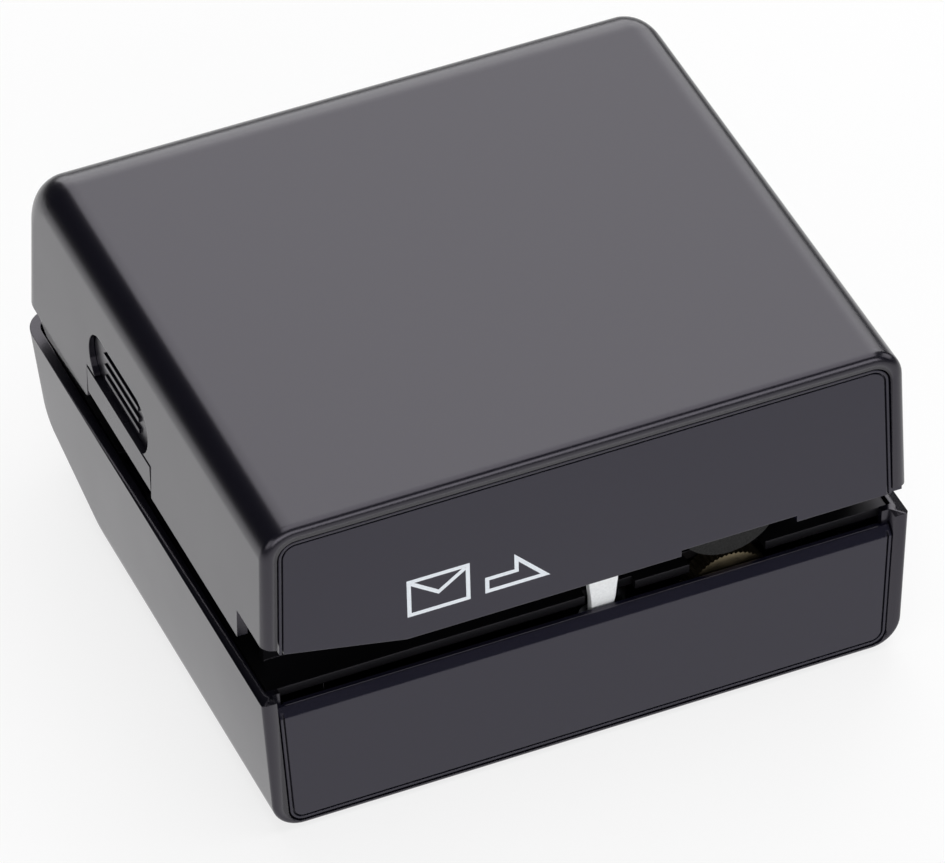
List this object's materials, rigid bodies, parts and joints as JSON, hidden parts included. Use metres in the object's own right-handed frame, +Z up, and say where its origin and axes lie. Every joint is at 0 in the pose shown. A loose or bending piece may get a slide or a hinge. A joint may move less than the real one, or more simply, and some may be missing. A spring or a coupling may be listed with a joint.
{
  "type": "electric letter opener",
  "caption": "Box-shaped desktop letter opener with a swing-up cover, a side-entry letter channel, feed wheel, edge cutter, gear train, motor and battery bay.",
  "frame": {"origin": "on the standing surface, under the middle of the body", "axes": "+X to the right along the front, +Y from front to back, +Z up"},
  "size_m": [0.135, 0.1274, 0.0755],
  "materials": {
    "graphite_plastic": "fine satin texture",
    "panel_plastic": "fine satin texture",
    "black_plastic": "satin",
    "white_plastic": "satin",
    "nylon": "satin",
    "red_nylon": "satin",
    "foam_rubber": "matt, open pored",
    "rubber": "matt",
    "brass": "turned and knurled",
    "bright_steel": "turned",
    "zinc_steel": "zinc plated",
    "bronze": "sintered",
    "cell_wrap": "gloss wrapper"
  },
  "bodies": {
    "base": {"base_front_panel": "panel_plastic", "base_shell": "graphite_plastic", "battery_cell_1": "cell_wrap", "battery_cell_2": "cell_wrap", "battery_cell_3": "cell_wrap", "battery_cell_4": "cell_wrap", "battery_springs": "zinc_steel", "battery_tray": "black_plastic", "contact_plates": "zinc_steel", "deck_screws": "zinc_steel", "foot_front_left": "rubber", "foot_front_right": "rubber", "foot_rear_left": "rubber", "foot_rear_right": "rubber", "hinge_pin_front": "bright_steel", "hinge_pin_rear": "bright_steel", "idler_pin": "bright_steel", "letter_deck": "black_plastic", "lever_pin": "bright_steel", "lever_spring": "zinc_steel", "mechanism_front_plate": "zinc_steel", "mechanism_rear_plate": "zinc_steel", "microswitch": "black_plastic", "motor_can": "zinc_steel", "motor_end_cap": "black_plastic", "motor_screws": "zinc_steel", "motor_terminals": "zinc_steel", "plate_spacers": "zinc_steel", "shaft_bushes": "bronze"},
    "cover": {"cover_shell": "graphite_plastic", "cover_front_panel": "panel_plastic", "roller_bracket": "black_plastic", "roller_pivot_pin": "bright_steel", "bracket_screws": "zinc_steel", "pressure_spring": "zinc_steel"},
    "release_tab": {"release_tab": "graphite_plastic"},
    "roller_arm": {"roller_arm": "zinc_steel", "roller_axle": "bright_steel"},
    "pressure_roller": {"roller_hub": "nylon", "roller_tyre": "foam_rubber"},
    "feed_wheel_set": {"feed_shaft": "bright_steel", "feed_wheel": "brass", "feed_gear": "nylon"},
    "cutter_set": {"cutter_shaft": "bright_steel", "cutter_wheel": "bright_steel", "cutter_gear": "nylon"},
    "idler": {"idler_gear": "nylon"},
    "motor_rotor": {"motor_shaft": "bright_steel", "motor_pinion": "nylon"},
    "start_lever": {"start_lever": "white_plastic"},
    "switch_plunger": {"switch_plunger": "red_nylon"},
    "battery_lid": {"battery_lid": "graphite_plastic"}
  },
  "joints": [
    {"name": "cover_hinge", "type": "hinge", "parent": "base", "child": "cover", "pos_m": [0.065, 0, 0.0373], "axis": [0, 1, 0], "range_deg": [0, 80]},
    {"name": "tab_press", "type": "hinge", "parent": "cover", "child": "release_tab", "pos_m": [-0.06284, 0.0101, 0.0628], "axis": [0, -1, 0], "range_deg": [0, 5], "stiffness_Nm_per_rad": 0.2, "springref_deg": -3.44},
    {"name": "arm_lift", "type": "hinge", "parent": "cover", "child": "roller_arm", "pos_m": [0.055, -0.0544, 0.052], "axis": [0, 1, 0], "range_deg": [0, 6], "stiffness_Nm_per_rad": 0.8, "springref_deg": -4.58, "deforming": ["pressure_spring"]},
    {"name": "roller_spin", "type": "hinge", "parent": "roller_arm", "child": "pressure_roller", "pos_m": [0.031, -0.058, 0.0448], "axis": [0, 1, 0], "continuous": true},
    {"name": "feed_spin", "type": "hinge", "parent": "base", "child": "feed_wheel_set", "pos_m": [0.031, -0.04, 0.0244], "axis": [0, 1, 0], "continuous": true},
    {"name": "idler_spin", "type": "hinge", "parent": "base", "child": "idler", "pos_m": [0.031, -0.04, 0.042], "axis": [0, 1, 0], "continuous": true},
    {"name": "motor_spin", "type": "hinge", "parent": "base", "child": "motor_rotor", "pos_m": [0.0494, -0.04, 0.042], "axis": [0, 1, 0], "continuous": true},
    {"name": "cutter_spin", "type": "hinge", "parent": "base", "child": "cutter_set", "pos_m": [0.0494, -0.04, 0.0284], "axis": [0, 1, 0], "continuous": true},
    {"name": "lever_tilt", "type": "hinge", "parent": "base", "child": "start_lever", "pos_m": [0.0035, -0.0592, 0.024], "axis": [0, 1, 0], "range_deg": [0, 20], "stiffness_Nm_per_rad": 0.002, "springref_deg": -8.59},
    {"name": "plunger_slide", "type": "slide", "parent": "base", "child": "switch_plunger", "axis": [-1, 0, 0], "range_m": [0, 0.0026]},
    {"name": "lid_slide", "type": "slide", "parent": "base", "child": "battery_lid", "axis": [0, 1, 0], "range_m": [0, 0.012]}
  ],
  "couplings": [
    {"joint": "idler_spin", "follows": "feed_spin", "ratio": -2.6667},
    {"joint": "motor_spin", "follows": "feed_spin", "ratio": 9.6},
    {"joint": "cutter_spin", "follows": "feed_spin", "ratio": -4},
    {"joint": "plunger_slide", "follows": "lever_tilt", "m_per_rad": 0.00744}
  ]
}
